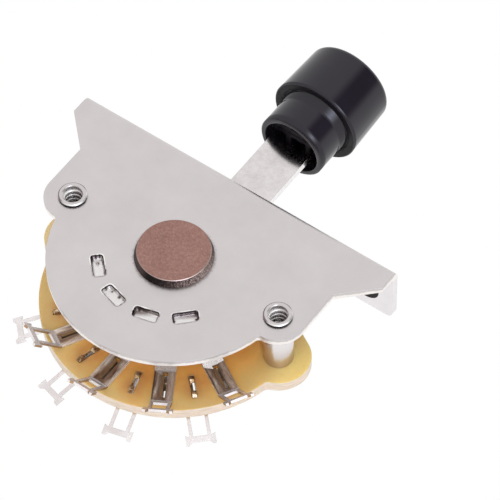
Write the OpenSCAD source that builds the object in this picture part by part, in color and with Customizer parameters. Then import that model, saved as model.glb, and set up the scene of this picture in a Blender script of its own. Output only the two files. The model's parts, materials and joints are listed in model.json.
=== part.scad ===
// Three-way lever selector switch for an electric guitar.
// Origin: top face of the mounting flange, midway between its two tapped holes.
// +Z points up along the lever, -Y out of the flat front plate, +X along the flange.
// Most pieces are drawn in the pivot frame: x right, y up, z out of the front plate,
// with depths counted backwards from the plate's front face.

/* [Bracket] */
// Distance from each tapped hole to the flange's end
flange_end = 4.35; // [3.5:0.05:6]
// Depth of the mounting flange, front plate included
flange_depth = 9.6; // [9.2:0.1:12]
// Thickness of the bracket's steel sheet
plate_t = 1; // [0.8:0.1:1.2]
// Inside radius of the bend between plate and flange
bend_r = 0.3; // [0.2:0.05:0.6]
// Radius of the flange's two free corners
flange_corner_r = 1; // [0.5:0.1:2]
// Height from the pivot up to the flange's top face
pivot_drop = 14.7; // [14.4:0.1:17]
// Height of the flange's square ends on the front plate
end_drop = 3.4; // [2.5:0.1:4.5]
// Height from the flange's top face to the foot of the slanted edges
slant_drop = 8; // [6.5:0.1:9]
// Radius of the front plate's round lower edge about the pivot
plate_r = 16.7; // [16.2:0.1:17.2]
// Radius of the front plate's two lobes round the posts
lobe_r = 3.85; // [3.4:0.05:4.2]
// Radius that blends the lobes into the round lower edge
lobe_blend_r = 0.8; // [0.4:0.1:1.5]

/* [Mounting holes and lever slot] */
// Distance between the flange's two tapped holes
hole_spacing = 41.3; // [40:0.1:43]
// Radius of the tapped holes
hole_r = 1.45; // [1.2:0.05:1.6]
// Countersink on top of the tapped holes
hole_chamfer = 0.25; // [0.15:0.05:0.35]
// Radius of the tapped holes' wide mouth under the flange
hole_mouth_r = 2.15; // [1.8:0.05:2.3]
// Depth of that mouth
mouth_depth = 0.3; // [0.2:0.05:0.4]
// Distance from the plate's front face back to the line of holes
hole_setback = 5.9; // [5.2:0.1:6.4]
// Width of the slot that the lever swings in
slot_w = 4.6; // [4.4:0.1:5]
// Free play between the lever at its limit and the slot's end
slot_play = 0.6; // [0.4:0.1:1.5]

/* [Detents] */
// Number of switch positions
positions = 3; // [2:1:3]
// Angle between neighbouring switch positions
throw_deg = 30; // [28:0.5:32]
// Radius of the ring of detent pockets
detent_r = 9.95; // [9.6:0.05:10.2]
// Length of a detent pocket around the pivot
pocket_len = 3.4; // [3:0.1:3.7]
// Width of a detent pocket
pocket_w = 1.65; // [1.4:0.05:1.9]
// Corner radius of a detent pocket
pocket_corner_r = 0.4; // [0.25:0.05:0.6]
// Depth pressed into the front face
pocket_depth = 0.7; // [0.5:0.05:0.75]
// Height raised behind the plate
bump_h = 0.55; // [0.4:0.05:0.7]
// Wall left round a pocket, which is also the bump's margin
pocket_wall = 0.3; // [0.25:0.05:0.4]

/* [Pivot stud] */
// Radius of the stud's head
head_r = 5.25; // [4.8:0.05:5.8]
// Thickness of the stud's head
head_t = 1.1; // [0.8:0.05:1.5]
// Taper of the head's side, from its foot to its face
head_taper = 0.35; // [0.1:0.05:0.5]
// Chamfer round the head's face
head_chamfer = 0.08; // [0.05:0.01:0.2]
// Radius of the stud's shank in the plate
shank_r = 3; // [2.6:0.1:3.4]
// Radius of the journal that the hub turns on
journal_r = 2; // [1.8:0.1:2.2]
// Running clearance round the journal
journal_play = 0.05; // [0.03:0.01:0.08]
// Length of the stud behind the retaining ring
stud_tip = 0.6; // [0.4:0.1:1]

/* [Posts] */
// Distance from the pivot to each post
post_x = 16.55; // [16.3:0.05:17]
// Length of a post between plate and wafer
post_len = 8.15; // [7.8:0.05:8.8]
// Outside radius of a post
post_r = 2; // [1.9:0.05:2.3]
// Radius of a post's threaded bore
post_bore_r = 1.3; // [1.2:0.05:1.4]
// Radius of the post's neck in the plate
neck_r = 1.6; // [1.55:0.05:1.7]
// Outside radius of the rim rolled over the plate
rim_r = 1.9; // [1.8:0.05:2.1]
// Height of the rolled rim
rim_h = 0.45; // [0.3:0.05:0.6]

/* [Lever] */
// Width of the lever
lever_w = 6.35; // [6:0.05:6.6]
// Thickness of the lever
lever_t = 1.1; // [0.9:0.05:1.2]
// Distance from the pivot to the lever's tip
lever_len = 36.5; // [35.5:0.1:37]
// Radius of the lever's round eye
eye_r = 6; // [5.4:0.1:6.6]

/* [Hub] */
// Radius of the hub's collar
collar_r = 3.9; // [3.7:0.1:4.1]
// Length of the hub's collar
collar_len = 2.7; // [2.4:0.05:3]
// Radius of the hub's neck
hub_r = 3; // [2.8:0.1:3.2]
// Distance across the flats of the hub's neck
hub_flats = 4.9; // [4.7:0.05:5.2]
// Height of the rim peened over the back washer
peen_h = 0.3; // [0.2:0.05:0.4]
// Clearance between the hub's neck and what it drives
drive_play = 0.03; // [0.02:0.01:0.05]
// Thickness of the back washer
back_washer_t = 0.4; // [0.3:0.05:0.5]
// Thickness of the thrust washer
thrust_t = 0.2; // [0.15:0.05:0.3]
// End play of the hub
end_play = 0.05; // [0.03:0.01:0.08]
// Thickness of the retaining ring
ring_t = 0.4; // [0.3:0.05:0.5]
// Outside radius of the retaining ring
ring_r = 3.6; // [3.3:0.1:3.8]

/* [Detent spring] */
// Thickness of the detent spring
spring_t = 0.4; // [0.3:0.05:0.5]
// Width of the spring's arm
spring_w = 3.4; // [2.8:0.1:4]
// Radius of the spring's nose
nose_r = 0.75; // [0.6:0.05:0.8]
// Running clearance between the nose and the bumps
nose_play = 0.05; // [0.03:0.01:0.1]

/* [Wafer and rotor] */
// Thickness of the wafer and the rotor
wafer_t = 1.7; // [1.5:0.05:2]
// Width of the wafer from the rotor's hole to its lower edge
wafer_rim = 8.9; // [8.6:0.1:9.3]
// Radius of the wafer's ears round the posts
ear_r = 4.3; // [4:0.05:4.5]
// Radius of the wafer's upper edge
wafer_top_r = 12.4; // [11.6:0.1:12.8]
// Radius that blends the ears into the lower edge
ear_blend_r = 1.2; // [0.6:0.1:2]
// Radius of the rotor
rotor_r = 8.9; // [8.7:0.05:9.1]
// Running gap round the rotor
rotor_gap = 0.3; // [0.2:0.05:0.4]
// Thickness of the contact blades
blade_t = 0.3; // [0.2:0.05:0.4]
// Margin of the rotor outside the blades' common ring
ring_margin = 1.5; // [1.3:0.05:1.7]
// Margin of the rotor outside the blades' tongue
tongue_margin = 0.3; // [0.2:0.05:0.5]
// Gap between the hub's collar and the blades' common ring
blade_gap = 0.5; // [0.3:0.05:0.8]
// Angle that the blades' tongue spans
tongue_deg = 17; // [14:1:20]
// Radius of a rotor rivet's shank
rivet_r = 0.55; // [0.45:0.05:0.65]
// Radius of a rotor rivet's head
rivet_head_r = 0.85; // [0.8:0.05:0.9]
// Height of a rotor rivet's head
rivet_head_h = 0.25; // [0.2:0.05:0.35]
// Number of rotor rivets
rivet_count = 3; // [2:1:3]

/* [Terminals] */
// Thickness of a terminal's strip
clip_t = 0.35; // [0.3:0.05:0.4]
// Width of a terminal's strip
clip_w = 2.8; // [2.6:0.1:3]
// Width of the pair of contact fingers
finger_w = 2; // [1.8:0.1:2.3]
// Gap between the two fingers
finger_gap = 0.5; // [0.4:0.05:0.6]
// Overlap of the common terminals' fingers on the blades' ring
finger_lap = 0.3; // [0.2:0.05:0.4]
// Gap between the fingers and a contact blade
contact_play = 0.05; // [0.03:0.01:0.08]
// Distance from the rotor's hole to the bend into the lug
bend_from_hole = 7.6; // [7.4:0.1:8]
// Inside radius of that bend
lug_bend_r = 0.4; // [0.3:0.05:0.6]
// Bend of the front lugs towards the front plate
front_lug_deg = 43; // [30:1:50]
// Bend of the back lugs away from the wafer
back_lug_deg = 14; // [8:1:30]
// Length of a lug beyond its bend
lug_len = 4.4; // [4:0.1:4.8]
// Width of a lug's two side rails
rail_w = 0.45; // [0.4:0.05:0.6]
// Height of the bar across a lug's end
bar_h = 0.75; // [0.6:0.05:0.9]
// Width of the bar across a lug's end
bar_w = 3.9; // [3.6:0.1:4.2]
// Size of the horns at the bar's two ends
horn = 0.4; // [0.3:0.05:0.5]
// Distance from the rotor's hole to the step up to the fingers
step_from_hole = 2.9; // [2.6:0.05:3.1]
// Run of the slope up to the lifted fingers
step_run = 0.9; // [0.6:0.1:1.2]
// Width of the part that carries the fingers
carrier_w = 2.8; // [2.4:0.1:3]
// Distance from the rotor's hole to the staking tongue
stake_from_hole = 3.7; // [3.6:0.05:4]
// Length of the staking tongue along the wafer
stake_len = 3.4; // [3:0.1:3.5]
// Length of the window left open in front of the tongue
window_lead = 0.5; // [0.3:0.05:0.6]
// Width of the window and of the wafer's slot
stake_slot_w = 0.7; // [0.6:0.05:0.8]
// Length of each of the tongue's two prongs
prong_len = 1.1; // [0.8:0.05:1.3]
// Clearance round the staking tongue
stake_play = 0.05; // [0.03:0.01:0.08]
// Height of the clinched prongs beyond the wafer
stake_out = 0.35; // [0.25:0.05:0.45]

/* [Post screws] */
// Radius of the post screws' shank
screw_r = 1.25; // [1.15:0.05:1.28]
// Length of the post screws below the head
screw_len = 7; // [6:0.1:8.5]
// Radius of the post screws' head
screw_head_r = 2.3; // [2.1:0.1:2.5]
// Height of the post screws' head
screw_head_h = 1.6; // [1.4:0.1:1.9]
// Length across the cross recess
cross_len = 2.4; // [2:0.1:2.8]
// Width of the cross recess
cross_w = 0.5; // [0.4:0.05:0.6]
// Depth of the cross recess
cross_depth = 0.9; // [0.7:0.05:1.1]
// Thickness of the split washers
split_t = 0.5; // [0.4:0.05:0.7]
// Gap in the split washers
split_gap = 0.5; // [0.3:0.05:0.7]

/* [Knob] */
// Distance from the pivot to the knob's open end
knob_base = 26; // [25:0.1:27]
// Radius of the knob's neck
knob_neck_r = 5; // [4.6:0.05:5.3]
// Length of the knob's neck
knob_neck_len = 5.45; // [5:0.05:6.5]
// Radius of the knob's cap at its lower rim
knob_cap_r = 6.55; // [6.2:0.05:6.8]
// Height of the knob's cap
knob_cap_h = 8.6; // [7.5:0.1:9.2]
// Draft of the cap from its lower rim to its top
knob_draft = 0.3; // [0:0.05:0.4]
// Rounding of the cap's top edge
knob_round = 0.8; // [0.5:0.1:1.2]
// Rise of the cap's domed top
knob_dome = 0.3; // [0.1:0.05:0.6]
// Wall of the knob's neck
knob_wall = 0.75; // [0.6:0.05:0.9]
// Thickness of the cap's top
knob_roof = 1.6; // [1.2:0.1:2]
// Depth and width of the groove where the neck meets the cap
knob_groove = 0.5; // [0.3:0.05:0.6]
// Wall of the socket that grips the lever
socket_wall = 0.8; // [0.6:0.05:0.9]
// Distance of the socket's mouth inside the knob's open end
socket_inset = 1.6; // [1:0.1:2.5]
// Clearance of the lever in its socket
socket_play = 0.03; // [0.02:0.01:0.06]
// Thickness of the ribs that carry the socket
rib_t = 0.8; // [0.6:0.05:1]

/* [Hidden] */
$fn = 96;

nickel = [0.80, 0.79, 0.79];
copper = [0.60, 0.42, 0.36];
phenolic = [0.84, 0.66, 0.34];
silvered = [0.83, 0.80, 0.80];
brass = [0.80, 0.66, 0.36];
black = [0.06, 0.06, 0.07];

flange_len = hole_spacing + 2 * flange_end;
swing = throw_deg * (positions - 1) / 2;
down = -90;
side_x = post_x + lobe_r;
bend_out = bend_r + plate_t;

// Depths behind the plate's front face, from front to back
hub_front = plate_t + thrust_t + end_play;
spring_front = hub_front + collar_len;
lever_front = spring_front + spring_t;
lever_back = lever_front + lever_t;
wafer_front = plate_t + post_len;
wafer_back = wafer_front + wafer_t;
washer_back = wafer_back + back_washer_t;
hub_back = washer_back + peen_h;
ring_front = hub_back + end_play;
stud_back = ring_front + ring_t + stud_tip;
lever_mid = lever_front + lever_t / 2;

rotor_hole_r = rotor_r + rotor_gap;
wafer_r = rotor_hole_r + wafer_rim;
tongue_r = rotor_r - tongue_margin;
blade_ring_r = rotor_r - ring_margin;
blade_in_r = collar_r + blade_gap;
rivet_circle_r = (blade_in_r + blade_ring_r) / 2;
finger_lift = blade_t + contact_play;
step_at = rotor_hole_r + step_from_hole;
stake_in = rotor_hole_r + stake_from_hole;
lug_bend_at = rotor_hole_r + bend_from_hole;
window_gap = 0.6;
blend_inset = 0.02;

// The four pockets flank the three gaps that the nose rests in
pocket_angles = [for (i = [0 : positions]) down + (i - positions / 2) * throw_deg];
// Four terminals a side; the back ones stand half a pitch round from the front ones
front_angles = [for (i = [0 : 3]) down + (i - 1) * throw_deg];
back_angles = [for (i = [0 : 3]) down + (i - 1.5) * throw_deg];
// The common terminal is the last in front and the first behind
front_mid = front_angles[1];
back_mid = back_angles[2];

// Pivot frame: x right, y up, z out of the front plate
module pivot_frame() {
    translate([0, -hole_setback, -pivot_drop]) rotate([90, 0, 0]) children();
}

// A flat layer of a 2D outline between two depths behind the plate's front face
module layer(depth, thickness) {
    translate([0, 0, -(depth + thickness)]) linear_extrude(thickness) children();
}

// Slot outline with round ends, centred, along x
module stadium(len, w) {
    square([len - w, w], center = true);
    for (s = [-1, 1]) translate([s * (len - w) / 2, 0]) circle(w / 2);
}

// Rectangle with round corners, centred
module round_rect(size, r) {
    square([size.x - 2 * r, size.y], center = true);
    square([size.x, size.y - 2 * r], center = true);
    for (sx = [-1, 1], sy = [-1, 1])
        translate([sx * (size.x / 2 - r), sy * (size.y / 2 - r)]) circle(r);
}

// Disc with two flats, the section that the hub drives by
module double_d(r, flats) {
    intersection() {
        circle(r);
        square([flats, 2 * r], center = true);
    }
}

// Sector of a disc, from angle a over span s
module sector(r, a, s) {
    intersection() {
        circle(r);
        polygon([[0, 0], for (k = [0 : 4]) 2 * r * [cos(a + s * k / 4), sin(a + s * k / 4)]]);
    }
}

// Fills the inner corner between a big circle about the pivot and a lobe beside it.
// The fill meets circles smaller by blend_inset, so that it cuts the real ones cleanly.
module lobe_blend(big_r, small_r, x, r) {
    big = big_r - blend_inset;
    small = small_r - blend_inset;
    reach = big + r;
    near = small + r;
    cx = (reach * reach - near * near + x * x) / (2 * x);
    cy = -sqrt(reach * reach - cx * cx);
    touch_big = [cx, cy] * big / reach;
    touch_lobe = [x, 0] + ([cx, cy] - [x, 0]) * small / near;
    difference() {
        polygon([[x, 0], [0, 0], touch_big, [cx, cy], touch_lobe]);
        translate([cx, cy]) circle(r);
    }
}

module plate_outline() {
    top = pivot_drop - bend_out;
    polygon([
        [-flange_len / 2, top], [flange_len / 2, top],
        [flange_len / 2, pivot_drop - end_drop], [side_x, pivot_drop - slant_drop],
        [side_x, 0], [-side_x, 0],
        [-side_x, pivot_drop - slant_drop], [-flange_len / 2, pivot_drop - end_drop]
    ]);
    intersection() {
        circle(plate_r);
        translate([-plate_r, -plate_r]) square([2 * plate_r, plate_r]);
    }
    for (s = [-1, 1]) {
        translate([s * post_x, 0]) circle(lobe_r);
        scale([s, 1]) lobe_blend(plate_r, lobe_r, post_x, lobe_blend_r);
    }
}

module flange_outline() {
    reach = flange_depth - bend_out;
    translate([-flange_len / 2, 0]) square([flange_len, reach - flange_corner_r]);
    translate([0, reach / 2]) round_rect([flange_len, reach], flange_corner_r);
}

// Height above the pivot of the slot's end, where the lever leans out most
slot_half = pivot_drop * tan(swing) + lever_w / 2 / cos(swing) + slot_play;

module tapped_hole() {
    deep = plate_t + 2;
    translate([0, 0, -deep / 2]) cylinder(deep, hole_r, hole_r);
    translate([0, 0, plate_t / 2 - hole_chamfer])
        cylinder(2 * hole_chamfer, hole_r, hole_r + 2 * hole_chamfer);
    mirror([0, 0, 1]) translate([0, 0, plate_t / 2 - mouth_depth])
        cylinder(2 * mouth_depth, hole_r, 2 * hole_mouth_r - hole_r);
}

module mounting_bracket() {
    color(nickel) {
        difference() {
            union() {
                pivot_frame() layer(0, plate_t) plate_outline();
                bracket_bend();
                translate([0, bend_out - hole_setback, -plate_t])
                    linear_extrude(plate_t) flange_outline();
                pivot_frame() for (a = pocket_angles) rotate(a) detent_bump();
            }
            pivot_frame() {
                for (a = pocket_angles) rotate(a) detent_pocket();
                layer(-1, plate_t + 2) circle(shank_r);
                for (s = [-1, 1]) translate([s * post_x, 0]) layer(-1, plate_t + 2) circle(neck_r);
            }
            for (s = [-1, 1]) translate([s * hole_spacing / 2, 0, -plate_t / 2]) tapped_hole();
            translate([0, lever_mid - hole_setback, -plate_t - 1]) linear_extrude(plate_t + 2)
                stadium(2 * slot_half, slot_w);
        }
    }
}

// Quarter-round bend that joins the plate to the flange along its whole length
module bracket_bend() {
    translate([-flange_len / 2, bend_out - hole_setback, -bend_out])
        rotate([90, 0, 90]) linear_extrude(flange_len) intersection() {
            difference() {
                circle(bend_out);
                circle(bend_r);
            }
            translate([-bend_out, 0]) square(bend_out);
        }
}

// Straight-sided pocket pressed into the front, and the bump that it raises behind
module detent_pocket() {
    translate([detent_r, 0]) layer(-1, pocket_depth + 1) round_rect([pocket_w, pocket_len], pocket_corner_r);
}
module detent_bump() {
    crest = 0.5 * bump_h;
    wall = 2 * pocket_wall;
    translate([detent_r, 0]) {
        layer(plate_t - 0.1, bump_h - crest + 0.1)
            round_rect([pocket_w, pocket_len], pocket_corner_r);
        layer(plate_t - 0.1, bump_h + 0.1)
            round_rect([pocket_w - wall, pocket_len - wall], pocket_corner_r - 0.1);
    }
}

module pivot_stud() {
    color(copper) pivot_frame() rotate_extrude() polygon([
        [0, head_t], [head_r - head_taper - head_chamfer, head_t],
        [head_r - head_taper, head_t - head_chamfer], [head_r, 0],
        [shank_r - 0.02, 0], [shank_r - 0.02, -plate_t], [journal_r, -plate_t],
        [journal_r, -ring_front], [journal_r - 0.4, -ring_front],
        [journal_r - 0.4, -ring_front - ring_t], [journal_r, -ring_front - ring_t],
        [journal_r, -stud_back + 0.2], [journal_r - 0.2, -stud_back], [0, -stud_back]
    ]);
}

module thrust_washer() {
    color(black) pivot_frame() layer(plate_t, thrust_t) difference() {
        circle(collar_r);
        circle(journal_r + 0.1);
    }
}

module post(side) {
    color(nickel) pivot_frame() translate([side * post_x, 0]) rotate_extrude() {
        translate([post_bore_r, -wafer_front]) square([post_r - post_bore_r, post_len]);
        translate([post_bore_r, -plate_t - 0.1])
            square([neck_r - 0.02 - post_bore_r, plate_t + 0.1 + rim_h / 2]);
        // The rolled rim: flat on the plate, round at its outer edge
        translate([post_bore_r + rim_h / 2, 0]) square([rim_r - post_bore_r - rim_h, rim_h]);
        for (x = [post_bore_r + rim_h / 2, rim_r - rim_h / 2])
            translate([x, rim_h / 2]) circle(rim_h / 2, $fn = 32);
    }
}
module left_post() { post(-1); }
module right_post() { post(1); }

// Lower edge about the pivot, ears round the posts, straight shoulders up to the top edge.
// The shoulders end just inside the two arcs, so that they cut them cleanly.
module wafer_outline() {
    lean = acos((wafer_top_r - ear_r) / post_x);
    top_touch = (wafer_top_r - blend_inset) * [cos(lean), sin(lean)];
    ear_touch = [post_x, 0] + (ear_r - blend_inset) * [cos(lean), sin(lean)];
    circle(wafer_top_r);
    intersection() {
        circle(wafer_r);
        translate([-wafer_r, -wafer_r]) square([2 * wafer_r, wafer_r]);
    }
    polygon([
        [-post_x, -ear_r / 2], [post_x, -ear_r / 2],
        ear_touch, top_touch, [-top_touch.x, top_touch.y], [-ear_touch.x, ear_touch.y]
    ]);
    for (s = [-1, 1]) scale([s, 1]) {
        translate([post_x, 0]) circle(ear_r);
        lobe_blend(wafer_r, ear_r, post_x, ear_blend_r);
    }
}

module stator_wafer() {
    slot = [stake_len + 2 * stake_play, stake_slot_w];
    color(phenolic) pivot_frame() layer(wafer_front, wafer_t) difference() {
        wafer_outline();
        circle(rotor_hole_r);
        for (s = [-1, 1]) translate([s * post_x, 0]) circle(neck_r);
        for (a = concat(front_angles, back_angles)) rotate(a)
            translate([stake_in + stake_len / 2, 0]) square(slot, center = true);
    }
}

// Flat part of a terminal on the wafer, with the window that its tongue is bent from
module strip_outline() {
    difference() {
        translate([step_at, -clip_w / 2]) square([lug_bend_at - step_at, clip_w]);
        translate([stake_in - window_lead, -stake_slot_w / 2])
            square([stake_len + window_lead + stake_play, stake_slot_w]);
    }
}

// Lug seen flat: a solder window between two rails, and a bar with a horn at each corner
module lug_outline() {
    bar_at = lug_len - bar_h;
    difference() {
        union() {
            translate([0, -clip_w / 2]) square([lug_len, clip_w]);
            translate([bar_at, -bar_w / 2]) square([bar_h, bar_w]);
            for (s = [-1, 1]) polygon([
                [bar_at, s * (bar_w / 2 - horn)], [bar_at - horn / 2, s * bar_w / 2],
                [lug_len + horn, s * bar_w / 2], [lug_len + horn, s * (bar_w / 2 - horn)],
                [lug_len, s * (bar_w / 2 - 2 * horn)]
            ]);
        }
        translate([window_gap, -clip_w / 2 + rail_w])
            square([bar_at - window_gap, clip_w - 2 * rail_w]);
    }
}

// One terminal along +x, lying on the wafer's face at z = 0, bent up by lug_deg.
// Its two fingers reach in to finger_in over the rotor's blade.
module terminal(finger_in, lug_deg) {
    step_in = step_at - step_run;
    carrier_in = rotor_hole_r + 0.6;
    fingers = (finger_w - finger_gap) / 2;
    linear_extrude(clip_t) strip_outline();
    // Slope up from the wafer, and the lifted carrier of the fingers
    translate([0, carrier_w / 2, 0]) rotate([90, 0, 0]) linear_extrude(carrier_w) polygon([
        [step_at + 0.1, 0], [step_at, 0], [step_in, finger_lift], [carrier_in, finger_lift],
        [carrier_in, finger_lift + clip_t], [step_in + clip_t / 3, finger_lift + clip_t],
        [step_at + clip_t / 3, clip_t], [step_at + 0.1, clip_t]
    ]);
    for (s = [-1, 1]) translate([0, s * (finger_gap + fingers) / 2 + fingers / 2, 0])
        rotate([90, 0, 0]) linear_extrude(fingers) polygon([
            [finger_in, finger_lift], [carrier_in + 0.1, finger_lift],
            [carrier_in + 0.1, finger_lift + clip_t], [finger_in - 0.3, finger_lift + clip_t],
            [finger_in - 0.3, finger_lift + clip_t / 2]
        ]);
    // Bend, then the lug
    translate([lug_bend_at, 0, clip_t + lug_bend_r]) rotate([90, 0, 0]) rotate([0, 0, -90])
        rotate_extrude(angle = lug_deg)
            translate([lug_bend_r, -clip_w / 2]) square([clip_t, clip_w]);
    translate([lug_bend_at, 0, clip_t + lug_bend_r]) rotate([0, -lug_deg, 0])
        translate([0, 0, -(lug_bend_r + clip_t)]) linear_extrude(clip_t) lug_outline();
    // Staking tongue through the wafer, with two prongs clinched on the far face
    tongue_w = stake_slot_w / 2;
    translate([stake_in, -stake_slot_w / 2 + stake_play, -wafer_t])
        cube([stake_len, tongue_w - stake_play, wafer_t + 0.05]);
    translate([stake_in, -stake_slot_w / 2 - 0.1, 0]) cube([stake_len, tongue_w + 0.1, clip_t]);
    for (x = [stake_in, stake_in + stake_len - prong_len])
        translate([x, stake_slot_w / 2 - stake_play, -wafer_t]) rotate([90, 0, 0])
            linear_extrude(stake_slot_w - 2 * stake_play) polygon([
                [0, 0], [prong_len, 0], [prong_len * 0.7, -stake_out], [prong_len * 0.3, -stake_out]
            ]);
}
throw_reach = (blade_ring_r + tongue_r) / 2;
common_reach = blade_ring_r - finger_lap;
module front_clip(i, reach) {
    color(silvered) pivot_frame() translate([0, 0, -wafer_front]) rotate(front_angles[i])
        terminal(reach, front_lug_deg);
}
module back_clip(i, reach) {
    color(silvered) pivot_frame() translate([0, 0, -wafer_back]) mirror([0, 0, 1])
        rotate(back_angles[i]) terminal(reach, back_lug_deg);
}
module front_terminal_1() { front_clip(0, throw_reach); }
module front_terminal_2() { front_clip(1, throw_reach); }
module front_terminal_3() { front_clip(2, throw_reach); }
module front_common_terminal() { front_clip(3, common_reach); }
module back_common_terminal() { back_clip(0, common_reach); }
module back_terminal_1() { back_clip(1, throw_reach); }
module back_terminal_2() { back_clip(2, throw_reach); }
module back_terminal_3() { back_clip(3, throw_reach); }

// Pan-head screw from the back of the wafer into a post
module post_screw(side) {
    seat = wafer_back + split_t;
    rise = screw_head_h * 0.45;
    color(nickel) pivot_frame() translate([side * post_x, 0]) difference() {
        rotate_extrude() {
            polygon([
                [0, -seat + screw_len], [screw_r - 0.3, -seat + screw_len],
                [screw_r, -seat + screw_len - 0.4], [screw_r, -seat],
                [screw_head_r, -seat], [screw_head_r, -seat - screw_head_h + rise],
                [screw_head_r * 0.9, -seat - screw_head_h + rise * 0.45],
                [screw_head_r * 0.65, -seat - screw_head_h + rise * 0.1],
                [screw_head_r * 0.3, -seat - screw_head_h], [0, -seat - screw_head_h]
            ]);
        }
        for (a = [0, 90]) rotate(a) layer(seat + screw_head_h - cross_depth, cross_depth + 1)
            square([cross_len, cross_w], center = true);
    }
}
module left_post_screw() { post_screw(-1); }
module right_post_screw() { post_screw(1); }

module split_washer(side) {
    color(nickel) pivot_frame() translate([side * post_x, 0]) layer(wafer_back, split_t) difference() {
        circle(screw_head_r);
        circle(screw_r + 0.1);
        rotate(side > 0 ? 60 : 120) translate([0, -split_gap / 2]) square([screw_head_r + 1, split_gap]);
    }
}
module left_split_washer() { split_washer(-1); }
module right_split_washer() { split_washer(1); }

// Open ring pushed sideways into the stud's groove
module retaining_ring() {
    groove_r = journal_r - 0.4;
    color(nickel) pivot_frame() layer(ring_front, ring_t) difference() {
        circle(ring_r);
        circle(groove_r + 0.03);
        translate([-groove_r * 0.85, 0]) square([groove_r * 1.7, ring_r + 1]);
        for (s = [-1, 1]) translate([s * (groove_r + 0.5), -0.1]) circle(0.35, $fn = 32);
    }
}

module drive_hole() {
    double_d(hub_r + drive_play, hub_flats + 2 * drive_play);
}

module selector_lever() {
    color(nickel) pivot_frame() layer(lever_front, lever_t) difference() {
        union() {
            circle(eye_r);
            translate([-lever_w / 2, 0]) square([lever_w, lever_len - 0.6]);
            translate([0, lever_len - lever_w / 4]) round_rect([lever_w, lever_w / 2], 0.6);
        }
        drive_hole();
    }
}

// Turned hub: collar in front of the lever, double-D neck through all that it drives
module lever_hub() {
    color(brass) pivot_frame() difference() {
        union() {
            layer(hub_front, collar_len) circle(collar_r);
            layer(spring_front - 0.1, washer_back + 0.1 - spring_front) double_d(hub_r, hub_flats);
            layer(washer_back, peen_h) circle(hub_r + 0.2);
        }
        layer(0, hub_back + 1) circle(journal_r + journal_play);
    }
}

module hub_spacer() {
    color(brass) pivot_frame() layer(lever_back, wafer_front - lever_back) difference() {
        circle(collar_r);
        circle(hub_r + drive_play);
    }
}

// Leaf clamped on the hub, its arm bowed forward to a nose that rides over the bumps
module detent_spring() {
    crest = plate_t + bump_h + nose_play;
    nose_back = crest + nose_r;
    arm_in = collar_r + 0.3;
    arm_out = detent_r - 1.4;
    tip = detent_r + 1.6;
    color(silvered) pivot_frame() {
        layer(spring_front, spring_t) difference() {
            union() {
                circle(collar_r + 0.8);
                translate([-spring_w / 2, -arm_in - 0.4]) square([spring_w, arm_in]);
            }
            drive_hole();
        }
        rotate(down) rotate([90, 0, 0]) translate([0, 0, -spring_w / 2]) linear_extrude(spring_w)
            polygon([
                [arm_in, -spring_front], [arm_out, -nose_back], [tip, -nose_back],
                [tip + 0.3, -nose_back - spring_t], [arm_out - 0.1, -nose_back - spring_t],
                [arm_in, -spring_front - spring_t]
            ]);
        rotate(down) translate([detent_r - 1, 0, -nose_back]) intersection() {
            rotate([0, 90, 0]) cylinder(2, nose_r, nose_r);
            translate([0, -nose_r, -spring_t / 2]) cube([2, 2 * nose_r, nose_r + spring_t]);
        }
    }
}

module rivet_places() {
    for (i = [0 : rivet_count - 1]) rotate(90 + (i + 0.5) * 360 / rivet_count)
        translate([rivet_circle_r, 0]) children();
}

module rotor() {
    color([0.45, 0.28, 0.16]) pivot_frame() layer(wafer_front, wafer_t) difference() {
        circle(rotor_r);
        drive_hole();
        rivet_places() circle(rivet_r + 0.03);
    }
}

// Ring that always meets the common terminal, with a tongue that meets one throw
module blade_outline(mid) {
    difference() {
        union() {
            circle(blade_ring_r);
            sector(tongue_r, mid - tongue_deg / 2, tongue_deg);
        }
        circle(blade_in_r);
        rivet_places() circle(rivet_r + 0.03);
    }
}
module front_contact_blade() {
    color(silvered) pivot_frame() layer(wafer_front - blade_t, blade_t) blade_outline(front_mid);
}
module back_contact_blade() {
    color(silvered) pivot_frame() layer(wafer_back, blade_t) blade_outline(back_mid);
}

module rotor_rivets() {
    front = wafer_front - blade_t;
    span = wafer_t + 2 * blade_t;
    color(brass) pivot_frame() rivet_places() {
        layer(front, span) circle(rivet_r);
        layer(front - rivet_head_h, rivet_head_h) circle(rivet_head_r);
        layer(front + span, rivet_head_h) circle(rivet_head_r);
    }
}

module back_washer() {
    color(brass) pivot_frame() layer(wafer_back, back_washer_t) difference() {
        circle(collar_r);
        drive_hole();
    }
}

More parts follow.
